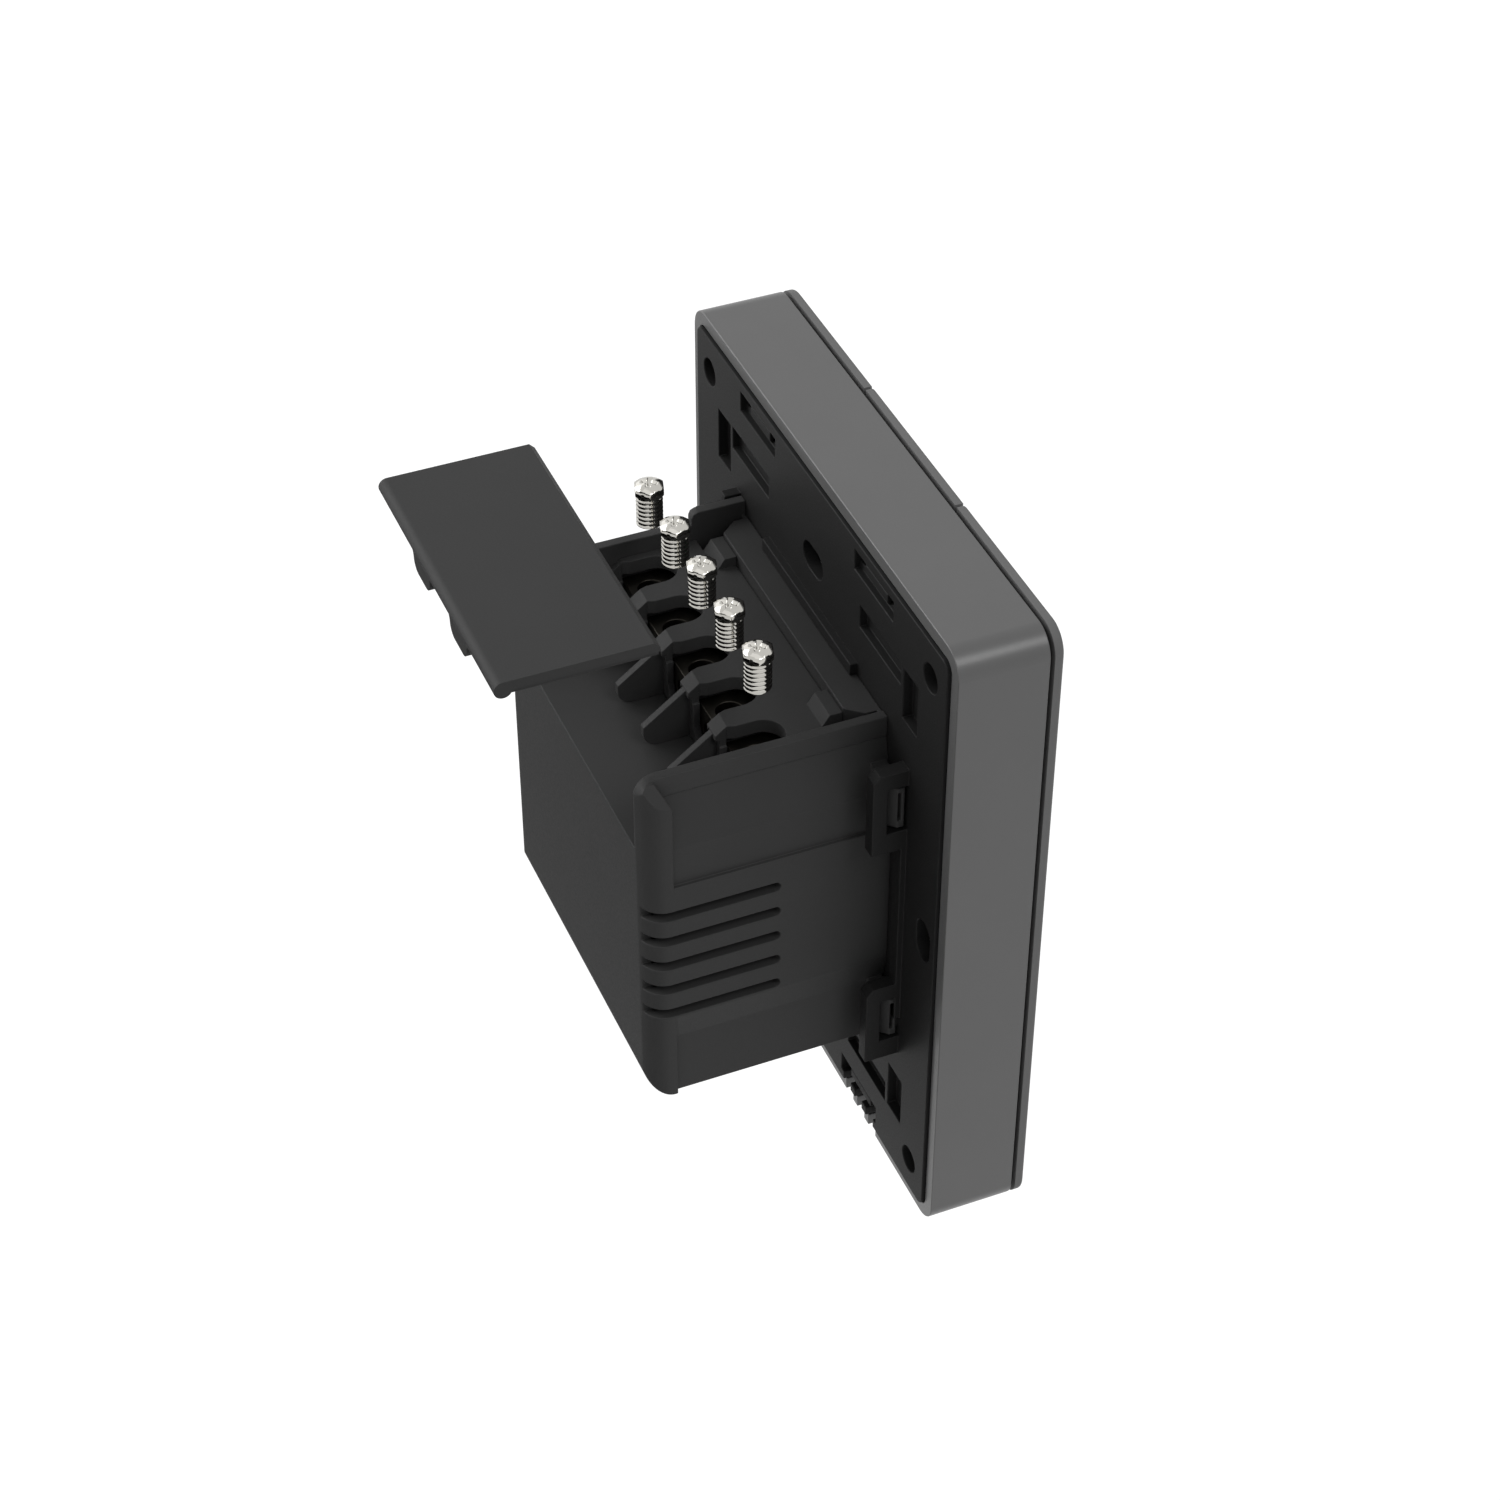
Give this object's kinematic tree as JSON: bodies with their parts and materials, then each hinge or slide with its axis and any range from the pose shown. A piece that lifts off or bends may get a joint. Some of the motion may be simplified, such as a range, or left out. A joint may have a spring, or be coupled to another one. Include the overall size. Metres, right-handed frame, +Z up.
{
  "type": "smart light switch",
  "caption": "Flush smart wall switch with rocker keys, a clip-on terminal module behind, and its terminal cover and screws lifted clear for wiring.",
  "frame": {"origin": "centre of the four corner holes, on the back plate's wall side", "axes": "+Z up, +Y into the wall, +X to the right for someone facing the keys"},
  "size_m": [0.0882, 0.0686, 0.1048],
  "materials": {
    "frame_plastic": "fine matt moulded plastic",
    "key_plastic": "fine matt moulded plastic",
    "plate_plastic": "fine matt moulded plastic",
    "housing_plastic": "fine matt moulded plastic",
    "carrier_plastic": "fine matt moulded plastic",
    "cover_plastic": "fine matt moulded plastic",
    "black_plastic": "moulded plastic",
    "plunger_plastic": "moulded plastic",
    "clear_plastic": "clear moulded plastic",
    "screw_nickel": "bright nickel plating",
    "terminal_brass": "machined brass",
    "contact_brass": "gilt contact pins in a black strip",
    "circuit_board": "green solder resist on glass fibre",
    "light_resin": "clear cast resin",
    "tinned_steel": "bright tinned sheet",
    "fixing_steel": "zinc plating",
    "relay_plastic": "moulded plastic",
    "transformer_core": "ferrite and tape",
    "capacitor_sleeve": "shrunk plastic sleeve",
    "fuse_body": "moulded plastic",
    "varistor_resin": "dipped epoxy resin"
  },
  "bodies": {
    "switch_body": {"face_frame": "frame_plastic", "back_plate": "plate_plastic", "rear_housing": "housing_plastic", "terminal_carrier": "carrier_plastic", "terminal_block_1": "terminal_brass", "terminal_block_2": "terminal_brass", "terminal_block_3": "terminal_brass", "terminal_block_4": "terminal_brass", "terminal_block_5": "terminal_brass", "control_board": "circuit_board", "button_left": "black_plastic", "button_middle": "black_plastic", "button_right": "black_plastic", "indicator_lights": "light_resin", "radio_board": "circuit_board", "radio_shield": "tinned_steel", "board_socket": "black_plastic", "board_header": "contact_brass", "board_screws": "fixing_steel", "power_board": "circuit_board", "relay_1": "relay_plastic", "relay_2": "relay_plastic", "relay_3": "relay_plastic", "transformer": "transformer_core", "capacitor": "capacitor_sleeve", "fuse": "fuse_body", "varistor": "varistor_resin"},
    "key_left": {"key_left": "key_plastic", "light_pipe_left": "clear_plastic"},
    "key_middle": {"key_middle": "key_plastic", "light_pipe_middle": "clear_plastic"},
    "key_right": {"key_right": "key_plastic", "light_pipe_right": "clear_plastic"},
    "plunger_left": {"plunger_left": "plunger_plastic"},
    "plunger_middle": {"plunger_middle": "plunger_plastic"},
    "plunger_right": {"plunger_right": "plunger_plastic"},
    "terminal_cover": {"terminal_cover": "cover_plastic"},
    "terminal_screw_1": {"terminal_screw_1": "screw_nickel"},
    "terminal_screw_2": {"terminal_screw_2": "screw_nickel"},
    "terminal_screw_3": {"terminal_screw_3": "screw_nickel"},
    "terminal_screw_4": {"terminal_screw_4": "screw_nickel"},
    "terminal_screw_5": {"terminal_screw_5": "screw_nickel"}
  },
  "joints": [
    {"name": "key_left_rock", "type": "hinge", "parent": "switch_body", "child": "key_left", "pos_m": [-0.02945, -0.013, 0.0466], "axis": [1, 0, 0], "range_deg": [0, 0.3], "stiffness_Nm_per_rad": 12},
    {"name": "key_middle_rock", "type": "hinge", "parent": "switch_body", "child": "key_middle", "pos_m": [0, -0.013, 0.0466], "axis": [1, 0, 0], "range_deg": [0, 0.3], "stiffness_Nm_per_rad": 12},
    {"name": "key_right_rock", "type": "hinge", "parent": "switch_body", "child": "key_right", "pos_m": [0.02945, -0.013, 0.0466], "axis": [1, 0, 0], "range_deg": [0, 0.3], "stiffness_Nm_per_rad": 12},
    {"name": "plunger_left_press", "type": "slide", "parent": "switch_body", "child": "plunger_left", "axis": [0, 1, 0], "range_m": [0, 0.0005]},
    {"name": "plunger_middle_press", "type": "slide", "parent": "switch_body", "child": "plunger_middle", "axis": [0, 1, 0], "range_m": [0, 0.0005]},
    {"name": "plunger_right_press", "type": "slide", "parent": "switch_body", "child": "plunger_right", "axis": [0, 1, 0], "range_m": [0, 0.0005]},
    {"name": "cover_seat", "type": "slide", "parent": "switch_body", "child": "terminal_cover", "axis": [0, -0.6585, -0.7526], "range_m": [0, 0.02764]},
    {"name": "screw_1_seat", "type": "slide", "parent": "switch_body", "child": "terminal_screw_1", "axis": [0, 0, -1], "range_m": [0, 0.0158]},
    {"name": "screw_2_seat", "type": "slide", "parent": "switch_body", "child": "terminal_screw_2", "axis": [0, 0, -1], "range_m": [0, 0.0158]},
    {"name": "screw_3_seat", "type": "slide", "parent": "switch_body", "child": "terminal_screw_3", "axis": [0, 0, -1], "range_m": [0, 0.0158]},
    {"name": "screw_4_seat", "type": "slide", "parent": "switch_body", "child": "terminal_screw_4", "axis": [0, 0, -1], "range_m": [0, 0.0158]},
    {"name": "screw_5_seat", "type": "slide", "parent": "switch_body", "child": "terminal_screw_5", "axis": [0, 0, -1], "range_m": [0, 0.0158]}
  ],
  "couplings": [
    {"joint": "plunger_left_press", "follows": "key_left_rock", "m_per_rad": 0.0806},
    {"joint": "plunger_middle_press", "follows": "key_middle_rock", "m_per_rad": 0.0806},
    {"joint": "plunger_right_press", "follows": "key_right_rock", "m_per_rad": 0.0806}
  ]
}
